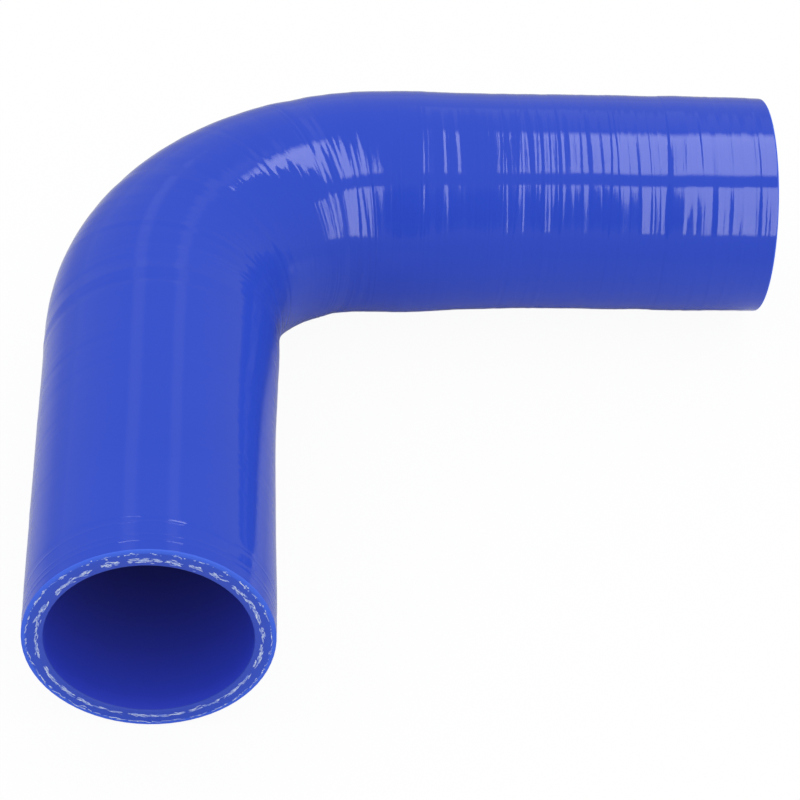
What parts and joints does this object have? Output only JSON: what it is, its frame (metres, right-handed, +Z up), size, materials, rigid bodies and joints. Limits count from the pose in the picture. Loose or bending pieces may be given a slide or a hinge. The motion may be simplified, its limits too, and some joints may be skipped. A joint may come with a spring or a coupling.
{
  "type": "silicone elbow hose",
  "caption": "Right-angle silicone coolant or air hose with a round bore, glossy blue outside and square-cut ends, pushed over two pipes and clamped.",
  "frame": {"origin": "under the middle of the hose's bounding box, on the surface that it lies on", "axes": "+Z up, square to the plane of the bend; +X out of the right leg's cut end; the front leg points towards -Y, 91.3 degrees from the right leg"},
  "size_m": [0.1816, 0.1798, 0.0544],
  "materials": {
    "blue_silicone": "glossy cured silicone with fine tape ridges round the hose"
  },
  "bodies": {
    "root": {"elbow_hose": "blue_silicone"}
  },
  "joints": []
}
